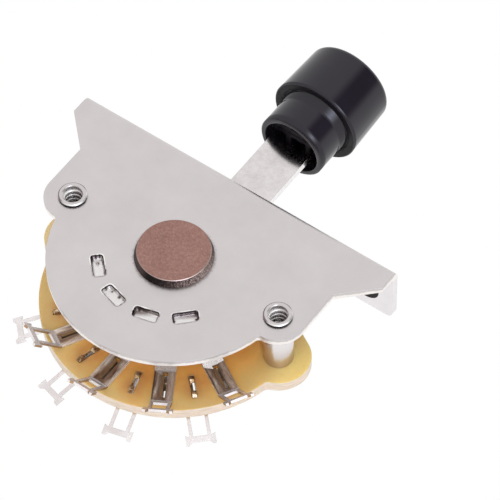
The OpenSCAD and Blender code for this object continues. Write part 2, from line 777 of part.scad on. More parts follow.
// Hollow two-step knob, its lever socket carried on ribs
module lever_knob() {
    cap_at = knob_base + knob_neck_len;
    top = cap_at + knob_cap_h;
    inner_r = knob_neck_r - knob_wall;
    roof = top - knob_roof;
    round_c = knob_cap_r - knob_draft - knob_round;
    socket = [lever_w + 2 * (socket_wall + socket_play), lever_t + 2 * (socket_wall + socket_play)];
    color(black) translate([0, lever_mid - hole_setback, -pivot_drop]) difference() {
        union() {
            difference() {
                rotate_extrude() {
                    polygon([
                        [0, knob_base], [knob_neck_r - 0.2, knob_base],
                        [knob_neck_r, knob_base + 0.2],
                        [knob_neck_r, cap_at + knob_groove], [knob_neck_r + knob_groove, cap_at + knob_groove],
                        [knob_neck_r + knob_groove, cap_at], [knob_cap_r - 0.15, cap_at],
                        [knob_cap_r, cap_at + 0.15], [knob_cap_r - knob_draft, top - knob_round],
                        [round_c, top], [0, top]
                    ]);
                    translate([round_c, top - knob_round]) circle(knob_round);
                }
                translate([0, 0, knob_base - 1]) cylinder(roof - knob_base + 1, inner_r, inner_r);
            }
            knob_dome_cap(top, round_c);
            translate([0, 0, knob_base + socket_inset]) linear_extrude(roof - knob_base - socket_inset + 0.1) {
                square(socket, center = true);
                intersection() {
                    circle(inner_r + 0.1);
                    union() {
                        square([2 * inner_r + 1, rib_t], center = true);
                        for (s = [-1, 1]) translate([s * lever_w / 4, 0])
                            square([rib_t, 2 * inner_r + 1], center = true);
                    }
                }
            }
        }
        // Blind slot for the lever's end
        translate([0, 0, knob_base]) linear_extrude(lever_len - knob_base + socket_play)
            square([lever_w + 2 * socket_play, lever_t + 2 * socket_play], center = true);
    }
}

// Shallow dome over the cap's flat top
module knob_dome_cap(top, r) {
    ball = (r * r + knob_dome * knob_dome) / (2 * knob_dome);
    rotate_extrude() intersection() {
        translate([0, top + knob_dome - ball]) circle(ball, $fn = 360);
        translate([0, top - 0.2]) square([r, knob_dome + 0.4]);
    }
}

mounting_bracket();
pivot_stud();
thrust_washer();
left_post();
right_post();
stator_wafer();
front_terminal_1();
front_terminal_2();
front_terminal_3();
front_common_terminal();
back_common_terminal();
back_terminal_1();
back_terminal_2();
back_terminal_3();
left_post_screw();
right_post_screw();
left_split_washer();
right_split_washer();
retaining_ring();
selector_lever();
lever_hub();
hub_spacer();
detent_spring();
rotor();
front_contact_blade();
back_contact_blade();
rotor_rivets();
back_washer();
lever_knob();
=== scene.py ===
"""Looks of the lever selector switch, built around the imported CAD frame. Lengths are in metres unless named _mm."""
import json
import math
import random

import bmesh
import bpy
from mathutils import Matrix, Vector


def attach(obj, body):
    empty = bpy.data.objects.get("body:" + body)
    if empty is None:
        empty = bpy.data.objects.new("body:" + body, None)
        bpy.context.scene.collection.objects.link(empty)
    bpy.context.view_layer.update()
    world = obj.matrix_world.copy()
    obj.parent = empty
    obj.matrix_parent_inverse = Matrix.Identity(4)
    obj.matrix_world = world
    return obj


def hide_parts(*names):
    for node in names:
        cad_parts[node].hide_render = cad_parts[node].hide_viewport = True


MM = 0.001
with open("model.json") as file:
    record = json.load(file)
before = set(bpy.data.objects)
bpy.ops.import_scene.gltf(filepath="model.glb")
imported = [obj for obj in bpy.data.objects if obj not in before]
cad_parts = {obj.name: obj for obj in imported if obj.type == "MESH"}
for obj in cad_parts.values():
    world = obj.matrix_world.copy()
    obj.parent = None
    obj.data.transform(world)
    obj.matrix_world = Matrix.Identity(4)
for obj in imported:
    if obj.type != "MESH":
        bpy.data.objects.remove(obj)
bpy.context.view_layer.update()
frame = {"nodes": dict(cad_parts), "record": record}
nodes = frame["nodes"]
scene = bpy.context.scene
scene.view_settings.view_transform = "Standard"

# Places that repeat values of the CAD source, in mm
PIVOT = (0.0, -5.9, -14.7)
POST_X = 16.55
WAFER_FRONT = 9.15
WAFER_T = 1.7
STEP_AT = 12.1
LUG_BEND_AT = 16.8
CLIP_W = 2.8
KNOB_BASE = 11.3
KNOB_NECK_LEN = 5.45
KNOB_NECK_R = 5.0
KNOB_CAP_R = 6.55

FRAME_NODES = frame["record"]["behaviour"]["bodies"]["frame"]
SLOT_OF = {p["node"]: p["material_slot"] for p in frame["record"]["subparts"]}


# Camera, solved from the photograph's named points
def make_camera():
    right = Vector((0.81029, 0.014825, 0.585841))
    down = Vector((0.468372, 0.584451, -0.662605))
    ahead = Vector((-0.352218, 0.811294, 0.466631))
    turn = Matrix((right, -down, -ahead)).transposed()
    data = bpy.data.cameras.new("camera")
    data.sensor_width = 36.0
    data.lens = 3746.39 / 500 * data.sensor_width
    data.clip_start = 0.01
    data.clip_end = 10.0
    cam = bpy.data.objects.new("camera", data)
    cam.matrix_world = Matrix.Translation(Vector((178.576, -399.814, -234.954)) * MM) @ turn.to_4x4()
    scene.collection.objects.link(cam)
    scene.camera = cam
    return right, -down, -ahead


RIGHT, UP, TOWARD = make_camera()


# Node helpers for the materials
class Shader:
    """A material with short calls for its nodes; coordinates are the object's own, in millimetres."""

    def __init__(self, name):
        self.mat = bpy.data.materials.new(name)
        self.mat.use_nodes = True
        self.tree = self.mat.node_tree
        self.bsdf = self.tree.nodes["Principled BSDF"]
        self.out = self.tree.nodes["Material Output"]
        where = self.add("ShaderNodeTexCoord")
        scale = self.add("ShaderNodeVectorMath", operation="SCALE")
        self.link(where.outputs["Object"], scale.inputs[0])
        scale.inputs["Scale"].default_value = 1.0 / MM
        self.mm = scale.outputs["Vector"]

    def add(self, kind, **props):
        node = self.tree.nodes.new(kind)
        for key, value in props.items():
            setattr(node, key, value)
        return node

    def link(self, a, b):
        self.tree.links.new(a, b)

    def set(self, **values):
        for key, value in values.items():
            self.bsdf.inputs[key.replace("_", " ")].default_value = value

    def stretched(self, scale, coords=None):
        node = self.add("ShaderNodeVectorMath", operation="MULTIPLY")
        self.link(coords or self.mm, node.inputs[0])
        node.inputs[1].default_value = scale
        return node.outputs["Vector"]

    def noise(self, scale, detail=3.0, rough=0.55, coords=None, distortion=0.0):
        node = self.add("ShaderNodeTexNoise")
        self.link(coords or self.mm, node.inputs["Vector"])
        node.inputs["Scale"].default_value = scale
        node.inputs["Detail"].default_value = detail
        node.inputs["Roughness"].default_value = rough
        node.inputs["Distortion"].default_value = distortion
        return node.outputs["Fac"]

    def ramp(self, fac, *stops):
        node = self.add("ShaderNodeValToRGB")
        self.link(fac, node.inputs["Fac"])
        marks = node.color_ramp.elements
        while len(marks) < len(stops):
            marks.new(0.5)
        for mark, (place, colour) in zip(marks, stops):
            mark.position = place
            mark.color = (*colour, 1.0) if len(colour) == 3 else colour
        return node.outputs["Color"]

    def math(self, operation, a, b=None, c=None, clamp=False):
        node = self.add("ShaderNodeMath", operation=operation, use_clamp=clamp)
        for socket, value in zip(node.inputs, (a, b, c)):
            if value is None:
                continue
            if isinstance(value, (int, float)):
                socket.default_value = value
            else:
                self.link(value, socket)
        return node.outputs[0]

    def remap(self, value, a, b, low=0.0, high=1.0):
        node = self.add("ShaderNodeMapRange", interpolation_type="SMOOTHSTEP")
        self.link(value, node.inputs["Value"])
        for key, number in (("From Min", a), ("From Max", b), ("To Min", low), ("To Max", high)):
            node.inputs[key].default_value = number
        return node.outputs["Result"]

    def mix(self, fac, a, b):
        node = self.add("ShaderNodeMix", data_type="RGBA")
        for socket, value in ((node.inputs["Factor"], fac), (node.inputs["A"], a), (node.inputs["B"], b)):
            if isinstance(value, tuple):
                socket.default_value = (*value, 1.0)
            elif isinstance(value, float):
                socket.default_value = value
            else:
                self.link(value, socket)
        return node.outputs["Result"]

    def axes(self, coords=None):
        node = self.add("ShaderNodeSeparateXYZ")
        self.link(coords or self.mm, node.inputs[0])
        return node.outputs["X"], node.outputs["Y"], node.outputs["Z"]

    def radius(self, x0=0.0, z0=PIVOT[2]):
        """Distance in mm from a line along Y through (x0, z0)."""
        x, _, z = self.axes()
        dx = self.math("SUBTRACT", x, x0)
        dz = self.math("SUBTRACT", z, z0)
        return self.math("SQRT", self.math("ADD", self.math("MULTIPLY", dx, dx), self.math("MULTIPLY", dz, dz)))

    def facing(self):
        """How squarely the surface faces along Y, 0 to 1."""
        node = self.add("ShaderNodeNewGeometry")
        _, y, _ = self.axes(node.outputs["Normal"])
        return self.math("ABSOLUTE", y)

    def tilted(self, normal, axis, amount):
        """The normal leaned along one of the object's axes by amount, a number or a socket."""
        lean = self.add("ShaderNodeCombineXYZ")
        if isinstance(amount, float):
            lean.inputs[axis].default_value = amount
        else:
            self.link(amount, lean.inputs[axis])
        turn = self.add("ShaderNodeVectorTransform", vector_type="VECTOR", convert_from="OBJECT", convert_to="WORLD")
        self.link(lean.outputs["Vector"], turn.inputs[0])
        total = self.add("ShaderNodeVectorMath", operation="ADD")
        self.link(normal, total.inputs[0])
        self.link(turn.outputs[0], total.inputs[1])
        unit = self.add("ShaderNodeVectorMath", operation="NORMALIZE")
        self.link(total.outputs["Vector"], unit.inputs[0])
        return unit.outputs["Vector"]

    def bump(self, height, strength, distance_mm, rounding_mm=0.07, lean=None):
        """Surface relief on top of edges that look rounded by rounding_mm; lean is (axis, amount)."""
        soft = self.add("ShaderNodeBevel", samples=6)
        soft.inputs["Radius"].default_value = rounding_mm * MM
        node = self.add("ShaderNodeBump")
        self.link(self.tilted(soft.outputs["Normal"], *lean) if lean else soft.outputs["Normal"], node.inputs["Normal"])
        self.link(height, node.inputs["Height"])
        node.inputs["Strength"].default_value = strength
        node.inputs["Distance"].default_value = distance_mm * MM
        self.link(node.outputs["Normal"], self.bsdf.inputs["Normal"])

    def colour(self, socket):
        self.link(socket, self.bsdf.inputs["Base Color"])

    def roughness(self, socket):
        self.link(socket, self.bsdf.inputs["Roughness"])


def plated(name, dark, light, rough, grain=0.3, edge=None, metal=1.0, mottle=0.0, lean=None):
    """Plated sheet metal: slow smudges, a fine grain, and brighter sheared edges where asked."""
    s = Shader(name)
    s.set(Metallic=metal)
    smudge = s.noise(0.16, 4.0, 0.6)
    if mottle:
        spots = s.noise(1.1, 4.0, 0.75)
        smudge = s.math("ADD", s.math("MULTIPLY", smudge, 1 - mottle), s.math("MULTIPLY", spots, mottle))
    body = s.ramp(smudge, (0.3, dark), (0.7, light))
    if edge:
        cut = s.remap(s.facing(), 0.35, 0.75, 1.0, 0.0)
        streaks = s.noise(1.0, 2.0, 0.5, s.stretched((2.5, 0.6, 2.5)))
        body = s.mix(cut, body, s.ramp(streaks, (0.35, edge[0]), (0.65, edge[1])))
    s.colour(body)
    fine = s.noise(9.0, 2.0, 0.7)
    s.roughness(s.remap(s.math("ADD", s.math("MULTIPLY", smudge, 0.6), s.math("MULTIPLY", fine, 0.4)),
                        0.3, 0.7, rough[0], rough[1]))
    s.bump(fine, grain, 0.006, lean=lean)
    return s.mat


def make_nickel_plate():
    """The bracket's sheet: grey cut edges with a painted highlight on the burr behind, the flange painted paler as
    painted light, and a painted contact shadow round the stud's head.
    """
    s = Shader("nickel_plate")
    s.set(Metallic=1.0)
    smudge = s.noise(0.16, 4.0, 0.6)
    fine = s.noise(9.0, 2.0, 0.7)
    depth = s.math("SUBTRACT", s.axes()[1], PIVOT[1])
    body = s.ramp(smudge, (0.3, (0.617, 0.577, 0.578)), (0.7, (0.68, 0.638, 0.638)))
    # Painted contact shadow: the plate's face darkened in a ring round the stud's head
    painted_contact_shadow = s.math("ADD", s.radius(0.12, PIVOT[2] - 0.12), s.remap(s.noise(3.0, 3.0, 0.6), 0.3, 0.7, -0.12, 0.12))
    painted_contact_shadow = s.math("MULTIPLY", s.remap(painted_contact_shadow, 5.1, 5.65, 1.0, 0.0), s.remap(depth, 0.0, 0.4, 0.6, 0.0))
    body = s.mix(painted_contact_shadow, body, (0.16, 0.125, 0.12))
    # Cut edge: grey towards the front; the burr behind it is real, but its near white is a painted highlight
    ragged = s.math("ADD", depth, s.remap(s.noise(1.6, 3.0, 0.6), 0.3, 0.7, -0.12, 0.12))
    sheared = s.ramp(ragged, (0.38, (0.63, 0.60, 0.595)), (0.56, (0.95, 0.90, 0.87)))
    # Painted light: the flange paler than the plate's face
    painted_lit_flange = s.ramp(smudge, (0.3, (0.76, 0.728, 0.744)), (0.7, (0.89, 0.862, 0.874)))
    cut = s.remap(s.facing(), 0.35, 0.75, 1.0, 0.0)
    s.colour(s.mix(cut, body, s.mix(s.remap(depth, 1.1, 1.8), sheared, painted_lit_flange)))
    s.roughness(s.remap(s.math("ADD", s.math("MULTIPLY", smudge, 0.6), s.math("MULTIPLY", fine, 0.4)),
                        0.3, 0.7, 0.30, 0.40))
    s.bump(fine, 0.25, 0.006)
    return s.mat


def make_post_nickel():
    """The posts' turned sides: plated, with painted brown shade towards the wafer."""
    s = Shader("post_nickel")
    s.set(Metallic=0.95)
    smudge = s.noise(0.16, 4.0, 0.6)
    fine = s.noise(9.0, 2.0, 0.7)
    body = s.ramp(smudge, (0.3, (0.76, 0.73, 0.73)), (0.7, (0.86, 0.835, 0.83)))
    # Painted shade: brown towards the wafer
    painted_foot_shade = s.remap(s.axes()[1], PIVOT[1] + 4.0, PIVOT[1] + WAFER_FRONT, 0.0, 0.7)
    s.colour(s.mix(painted_foot_shade, body, (0.42, 0.31, 0.25)))
    s.roughness(s.remap(fine, 0.3, 0.7, 0.2, 0.28))
    s.bump(fine, 0.12, 0.006, lean=("Y", -0.22))
    return s.mat


def make_copper():
    """Copper wash on a sheared head: fine cross grain on the face, a painted highlight on the lip that grows brighter
    to the right, a dark torn flank.
    """
    s = Shader("copper")
    s.set(Metallic=1.0)
    grain = s.noise(1.0, 3.0, 0.7, s.stretched((4.0, 1.0, 9.0)))
    cross = s.noise(1.0, 3.0, 0.7, s.stretched((9.0, 1.0, 4.0)))
    cloud = s.noise(0.5, 3.0, 0.6)
    blotch = s.noise(2.4, 3.0, 0.6)
    both = s.math("ADD", s.math("MULTIPLY", grain, 0.28), s.math("MULTIPLY", cross, 0.28))
    both = s.math("ADD", both, s.math("ADD", s.math("MULTIPLY", cloud, 0.14), s.math("MULTIPLY", blotch, 0.3)))
    top = s.ramp(both, (0.39, (0.24, 0.135, 0.118)), (0.5, (0.345, 0.19, 0.16)), (0.61, (0.45, 0.27, 0.235)))
    x, _, z = s.axes()
    # Painted highlight on the lip: brighter towards the right-hand side
    turn = s.math("ADD", s.math("MULTIPLY", x, 0.186), s.math("MULTIPLY", s.math("SUBTRACT", z, PIVOT[2]), -0.05))
    lip = s.math("MULTIPLY", s.remap(s.facing(), 0.58, 0.68), s.remap(s.facing(), 0.86, 0.97, 1.0, 0.0))
    painted_lip_highlight = s.mix(s.remap(turn, 0.15, 1.0), (0.38, 0.27, 0.245), (0.74, 0.60, 0.55))
    s.colour(s.mix(lip, top, painted_lip_highlight))
    s.roughness(s.remap(both, 0.35, 0.65, 0.32, 0.46))
    s.bump(both, 0.4, 0.015, 0.03)
    return s.mat


def make_torn_copper():
    """The head's broken flank: near black across its middle; painted light lifts it to dark brown on its left and to a
    brown-grey speckle on its right.
    """
    s = Shader("torn_copper")
    s.set(Metallic=0.3, Specular_IOR_Level=0.2)
    torn = s.noise(1.0, 4.0, 0.8, s.stretched((5.0, 2.5, 5.0)))
    side = s.axes()[0]
    # Painted light: the speckle brightens towards the right
    speckle_and_painted_light = s.math("ADD", torn, s.math("MULTIPLY_ADD", side, 0.075, -0.07))
    body = s.ramp(speckle_and_painted_light, (0.48, (0.006, 0.004, 0.004)), (0.62, (0.03, 0.02, 0.019)), (0.72, (0.09, 0.064, 0.06)),
                  (0.86, (0.34, 0.265, 0.245)))
    # Painted light: dark brown lifted in on the left
    s.colour(s.mix(s.remap(side, -2.2, -0.3, 0.8, 0.0), body, (0.075, 0.055, 0.05)))
    s.roughness(s.remap(torn, 0.3, 0.7, 0.5, 0.7))
    s.bump(torn, 0.5, 0.03, 0.03)
    return s.mat


def make_strip_wear_and_light():
    """Tarnished strip: brown-grey streaks that run out along it, with painted shade along its middle, painted
    highlights on the borders of the -90 and -120 degree strips and on the right-hand side of the others.
    """
    s = Shader("strip_wear_and_light")
    s.set(Metallic=0.6)
    x, y, z = s.axes()
    turn = s.math("ARCTAN2", s.math("SUBTRACT", z, PIVOT[2]), x)
    polar = s.add("ShaderNodeCombineXYZ")
    reach = s.radius()
    s.link(s.math("MULTIPLY", turn, 26.0), polar.inputs["X"])
    s.link(y, polar.inputs["Y"])
    s.link(s.math("MULTIPLY", reach, 0.4), polar.inputs["Z"])
    streak = s.noise(1.0, 2.0, 0.5, polar.outputs["Vector"])
    body = s.ramp(streak, (0.32, (0.17, 0.10, 0.065)), (0.43, (0.44, 0.31, 0.235)), (0.55, (0.76, 0.60, 0.50)),
                  (0.68, (1.0, 0.94, 0.86)))
    # Distance from the strip's middle line; the strips lie every 30 degrees
    step = s.math("FRACT", s.math("ADD", s.math("DIVIDE", turn, math.radians(30)), 20.5))
    across = s.math("MULTIPLY", s.math("ABSOLUTE", s.math("SUBTRACT", step, 0.5)), math.radians(30))
    across = s.math("MULTIPLY", across, reach)
    # Borders: near white, a painted highlight, on the -90 and -120 degree strips; dark brown on the others
    highlit_strips = s.remap(turn, math.radians(-80), math.radians(-70), 1.0, 0.0)
    border = s.remap(across, CLIP_W / 2 - 0.34, CLIP_W / 2 - 0.12)
    body = s.mix(s.math("MULTIPLY", border, 0.7), body, s.mix(highlit_strips, (0.085, 0.056, 0.040), (1.0, 0.95, 0.90)))
    # Painted shade: dark brown along the middle, round the window
    body = s.mix(s.remap(across, 0.45, 1.0, 0.7, 0.0), body, (0.19, 0.10, 0.05))
    # Painted highlight on the right-hand side of the -30 and -60 degree strips
    painted_right_highlight = s.math("MULTIPLY", s.remap(step, 0.53, 0.60, 0.0, 0.55), s.remap(streak, 0.3, 0.5, 0.3, 1.0))
    body = s.mix(s.math("MULTIPLY", painted_right_highlight, s.math("SUBTRACT", 1.0, highlit_strips)), body, (0.88, 0.70, 0.59))
    s.colour(body)
    s.roughness(s.remap(streak, 0.3, 0.7, 0.4, 0.24))
    s.bump(streak, 0.35, 0.02)
    return s.mat


def make_clinched():
    """Bent prong ends: bronze brown with bright rubbed spots."""
    s = Shader("clinched")
    s.set(Metallic=0.7)
    rub = s.noise(1.4, 4.0, 0.75)
    s.colour(s.ramp(rub, (0.38, (0.10, 0.05, 0.02)), (0.5, (0.38, 0.22, 0.10)), (0.58, (0.60, 0.44, 0.27)),
                    (0.68, (0.95, 0.85, 0.70))))
    s.roughness(s.remap(rub, 0.3, 0.7, 0.4, 0.25))
    s.bump(rub, 0.3, 0.02, 0.12)
    return s.mat


def make_phenolic():
    """Amber laminate; its front carries painted light: a deeper, brighter orange under the plate's shade, paler
    outside, paler to the right and darker to the left; creamy, faintly see-through cut edges.
    """
    s = Shader("phenolic")
    reach = s.radius()
    cloud = s.noise(0.28, 3.0, 0.55)
    paper = s.noise(2.4, 3.0, 0.6, s.stretched((1.0, 6.0, 1.0)))
    place = s.math("ADD", reach, s.remap(cloud, 0.3, 0.7, -0.7, 0.7))
    # Painted light: the colour runs with the distance from the pivot, deeper orange under the plate, paler outside
    body = s.ramp(s.remap(place, 10.5, 19.0),
                  (0.0, (0.78, 0.34, 0.07)), (0.4, (0.86, 0.485, 0.13)), (0.75, (0.75, 0.485, 0.16)),
                  (1.0, (0.64, 0.455, 0.19)))
    side, deep, _ = s.axes()
    # Painted light: paler towards the right, darker on the left, palest at the far left edge
    body = s.mix(s.remap(side, 15.5, 19.5, 0.0, 0.7), body, (0.94, 0.74, 0.26))
    body = s.mix(s.remap(side, -11.0, -5.0, 0.85, 0.0), body, (0.57, 0.385, 0.135))
    body = s.mix(s.remap(side, -19.5, -18.0, 0.5, 0.0), body, (0.85, 0.68, 0.38))
    body = s.mix(s.math("MULTIPLY", s.remap(paper, 0.45, 0.75), 0.12), body, (0.55, 0.27, 0.07))
    # Darker reddish brown round the four prongs
    near = None
    for turn in (-135, -105, -75, -45):
        a = math.radians(turn)
        away = s.radius(14.9 * math.cos(a), PIVOT[2] + 14.9 * math.sin(a))
        near = away if near is None else s.math("MINIMUM", near, away)
    prong_halo = s.remap(s.math("ADD", near, s.remap(cloud, 0.3, 0.7, -0.5, 0.5)), 0.3, 3.2, 0.7, 0.0)
    body = s.mix(prong_halo, body, (0.53, 0.21, 0.068))
    plain = s.ramp(cloud, (0.3, (0.73, 0.46, 0.14)), (0.7, (0.82, 0.55, 0.19)))
    body = s.mix(s.remap(deep, PIVOT[1] + WAFER_FRONT + 0.2, PIVOT[1] + WAFER_FRONT + 0.4), body, plain)
    cut = s.remap(s.facing(), 0.3, 0.8, 1.0, 0.0)
    layers = s.noise(1.0, 2.0, 0.6, s.stretched((0.5, 9.0, 0.5)))
    edge = s.ramp(layers, (0.35, (0.57, 0.455, 0.35)), (0.65, (0.72, 0.62, 0.53)))
    s.colour(s.mix(cut, body, edge))
    s.roughness(s.remap(paper, 0.3, 0.7, 0.3, 0.42))
    s.set(Subsurface_Weight=0.35, Subsurface_Radius=(1.0, 0.6, 0.25), Subsurface_Scale=1.4 * MM, IOR=1.5)
    s.bump(paper, 0.15, 0.01, 0.25)
    return s.mat


def make_rotor_phenolic():
    s = Shader("rotor_phenolic")
    paper = s.noise(2.0, 4.0, 0.65, s.stretched((1.0, 5.0, 1.0)))
    s.colour(s.ramp(paper, (0.3, (0.12, 0.05, 0.02)), (0.7, (0.24, 0.11, 0.045))))
    s.roughness(s.remap(paper, 0.3, 0.7, 0.35, 0.5))
    s.bump(paper, 0.2, 0.01)
    return s.mat


def make_brass():
    s = Shader("brass")
    s.set(Metallic=1.0)
    turned = s.noise(1.0, 3.0, 0.6, s.stretched((0.6, 12.0, 0.6)))
    s.colour(s.ramp(turned, (0.3, (0.62, 0.42, 0.17)), (0.7, (0.78, 0.57, 0.27))))
    s.roughness(s.remap(turned, 0.3, 0.7, 0.2, 0.34))
    s.bump(turned, 0.15, 0.006)
    return s.mat


def make_recess_shade():
    """Painted shade: near black for the recessed mouths of the flange's holes."""
    s = Shader("recess_shade")
    film = s.noise(4.0, 3.0, 0.6)
    s.colour(s.ramp(film, (0.3, (0.006, 0.005, 0.005)), (0.7, (0.02, 0.017, 0.016))))
    s.roughness(s.remap(film, 0.3, 0.7, 0.6, 0.8))
    return s.mat


def make_toned_nickel(name, metal, torn=0.25):
    """Worked metal, toned point by point by its tone attribute, from black and brown-grey up to bright; the tones hold
    real tears and dark spots together with painted light and shade.
    """
    s = Shader(name)
    s.set(Metallic=metal)
    tone = s.add("ShaderNodeAttribute", attribute_name="tone").outputs["Fac"]
    tear = s.noise(3.0, 3.0, 0.7)
    mixed = s.math("ADD", tone, s.math("MULTIPLY", s.math("SUBTRACT", tear, 0.5), torn))
    s.colour(s.ramp(mixed, (0.05, (0.008, 0.006, 0.006)), (0.25, (0.10, 0.08, 0.075)), (0.45, (0.26, 0.22, 0.21)),
                    (0.62, (0.58, 0.54, 0.54)), (0.85, (0.84, 0.82, 0.81)), (1.0, (0.97, 0.96, 0.95))))
    s.roughness(s.remap(tear, 0.3, 0.7, 0.22, 0.36))
    s.bump(tear, 0.2, 0.02, 0.03)
    return s.mat


def make_fibre():
    s = Shader("fibre")
    weave = s.noise(6.0, 4.0, 0.7)
    s.colour(s.ramp(weave, (0.3, (0.02, 0.02, 0.02)), (0.7, (0.05, 0.048, 0.045))))
    s.roughness(s.remap(weave, 0.3, 0.7, 0.6, 0.75))
    s.bump(weave, 0.3, 0.01)
    return s.mat


def make_black_plastic(name, base, rough, level, flared=False):
    """Moulded black: a very slow waviness and a few faint handling marks. Flared, its normals lean as if the knob's
    neck curved into its open end and into the cap."""
    s = Shader(name)
    cloud = s.noise(0.35, 3.0, 0.5)
    marks = s.noise(1.0, 4.0, 0.6, s.stretched((0.6, 0.6, 3.5)))
    s.colour(s.ramp(cloud, (0.3, base), (0.7, tuple(1.35 * v for v in base))))
    s.roughness(s.remap(marks, 0.35, 0.75, *rough))
    s.set(IOR=1.45, Specular_IOR_Level=level)
    lean = None
    if flared:
        z = s.axes()[2]
        mouth, cap = KNOB_BASE, KNOB_BASE + KNOB_NECK_LEN
        lean = s.math("ADD", s.remap(z, mouth + 0.55, mouth + 1.15, -0.66, 0.0),
                      s.math("MULTIPLY", s.remap(z, cap - 1.5, cap - 0.8, 0.0, -0.66),
                             s.remap(z, cap + 0.4, cap + 0.5, 1.0, 0.0)))
    s.bump(cloud, 0.12, 0.05, 0.35, ("Z", lean) if flared else None)
    return s.mat


MATERIALS = {
    "nickel_plate": make_nickel_plate(),
    "bright_nickel": plated("bright_nickel", (0.74, 0.72, 0.72), (0.86, 0.845, 0.845), (0.14, 0.24), 0.12),
    "post_nickel": make_post_nickel(),
    "silver_plate": plated("silver_plate", (0.63, 0.58, 0.575), (0.84, 0.80, 0.805), (0.18, 0.32), 0.25,
                           None, 0.55),
    # Painted shade: a darker copy of the silver, for the -60 degree strip's step
    "shaded_silver": plated("shaded_silver", (0.52, 0.48, 0.46), (0.80, 0.75, 0.74), (0.18, 0.32), 0.25, None, 0.55),
    # Painted highlight: near-white metal for the -30 degree strip's step
    "painted_step_highlight": plated("painted_step_highlight", (0.60, 0.56, 0.55), (0.98, 0.95, 0.95), (0.2, 0.35), 0.3, None, 0.6, 0.6, ("Z", -1.0)),
    # Tarnished brown and painted shade for the strips' windows and their lugs' side edges
    "tarnish_and_shade": plated("tarnish_and_shade", (0.15, 0.08, 0.035), (0.42, 0.26, 0.13), (0.35, 0.5), 0.3, None, 0.4),
    "lever_steel": plated("lever_steel", (0.57, 0.53, 0.53), (0.86, 0.82, 0.82), (0.12, 0.18), 0.3,
                          ((0.80, 0.775, 0.775), (0.93, 0.91, 0.91)), 1.0, 0.5),
    "copper": make_copper(),
    "torn_copper": make_torn_copper(),
    "strip_wear_and_light": make_strip_wear_and_light(),
    "clinched": make_clinched(),
    "phenolic": make_phenolic(),
    "rotor_phenolic": make_rotor_phenolic(),
    "brass": make_brass(),
    "fibre": make_fibre(),
    "recess_shade": make_recess_shade(),
    # Painted shade: a dark copy of the nickel for the flange holes' walls and threads
    "shaded_nickel": plated("shaded_nickel", (0.10, 0.09, 0.085), (0.22, 0.20, 0.19), (0.35, 0.5), 0.3),
    "pressed_nickel": make_toned_nickel("pressed_nickel", 1.0),
    "bore_nickel": make_toned_nickel("bore_nickel", 0.75, 0.15),
    "rim_nickel": make_toned_nickel("rim_nickel", 0.9, 0.1),
    "black_plastic": make_black_plastic("black_plastic", (0.0075, 0.0055, 0.0105), (0.07, 0.13), 0.5, True),
    # Painted shade: a darker, less shiny black for the knob's hollow and cap underside
    "shaded_black": make_black_plastic("shaded_black", (0.006, 0.005, 0.007), (0.35, 0.5), 0.16),
}


def paint(obj, slot):
    obj.data.materials.clear()
    obj.data.materials.append(MATERIALS[slot])


for name, obj in nodes.items():
    paint(obj, SLOT_OF[name])


# The knob's hollow and the underside of its cap take a darker, duller copy of the black: painted shade
def shade_knob_inside():
    knob = nodes["lever_knob"]
    knob.data.materials.append(MATERIALS["shaded_black"])
    axis_y = PIVOT[1] + 4.9
    for face in knob.data.polygons:
        at = knob.matrix_world @ face.center / MM
        away = math.hypot(at.x, at.y - axis_y)
        under = face.normal.z < -0.7 and at.z > PIVOT[2] + 30 and away < KNOB_CAP_R - 0.45
        if (away < KNOB_NECK_R - 0.6 and at.z < PIVOT[2] + 39) or under:
            face.material_index = 1


shade_knob_inside()


# The stud's head is torn round its flank, and the flange's holes are dark inside with painted shade
def dress_stud_and_holes():
    stud = nodes["pivot_stud"]
    stud.data.materials.append(MATERIALS["torn_copper"])
    for face in stud.data.polygons:
        at = stud.matrix_world @ face.center / MM
        if at.y < PIVOT[1] - 0.01 and abs(face.normal.y) < 0.5:
            face.material_index = 1
    sheet = nodes["mounting_bracket"]
    sheet.data.materials.append(MATERIALS["recess_shade"])
    sheet.data.materials.append(MATERIALS["shaded_nickel"])
    for face in sheet.data.polygons:
        at = sheet.matrix_world @ face.center / MM
        away = math.hypot(abs(at.x) - 20.65, at.y)
        # Painted shade: near black in each hole's recessed mouth, dark nickel on its wall
        if away < 2.2 and -0.99 < at.z < -0.55:
            face.material_index = 1
        elif away < 1.5 and -0.56 < at.z < -0.26:
            face.material_index = 2


dress_stud_and_holes()


# The front strips: where they step up to their fingers, a painted highlight on the -30 degree strip and painted shade
# on the -60 one; tarnished and in painted shade inside their windows and on their lugs' side edges
def dress_front_strips():
    for node, turn in (("front_terminal_1", -120), ("front_terminal_2", -90), ("front_terminal_3", -60),
                       ("front_common_terminal", -30)):
        obj = nodes[node]
        a = math.radians(turn)
        obj.data.materials.append(MATERIALS[{-30: "painted_step_highlight", -60: "shaded_silver"}.get(turn, "silver_plate")])
        obj.data.materials.append(MATERIALS["tarnish_and_shade"])
        obj.data.materials.append(MATERIALS["strip_wear_and_light"])
        obj.data.materials.append(MATERIALS["clinched"])
        for face in obj.data.polygons:
            at = obj.matrix_world @ face.center / MM
            x, z = at.x - PIVOT[0], at.z - PIVOT[2]
            along, across = x * math.cos(a) + z * math.sin(a), z * math.cos(a) - x * math.sin(a)
            if at.y > PIVOT[1] + WAFER_FRONT + WAFER_T - 0.02:
                face.material_index = 4
            elif along < STEP_AT + {-30: 1.3, -60: 0.9}.get(turn, 0.4) and face.normal.y < -0.3:
                face.material_index = 1
            elif STEP_AT + 0.1 < along < STEP_AT + 4.5 and abs(across) < 0.36:
                face.material_index = 2
            elif along < LUG_BEND_AT and abs(face.normal.y) > 0.9:
                face.material_index = 3
            elif along >= LUG_BEND_AT and abs(face.normal.z * math.cos(a) - face.normal.x * math.sin(a)) > 0.6:
                face.material_index = 2


dress_front_strips()


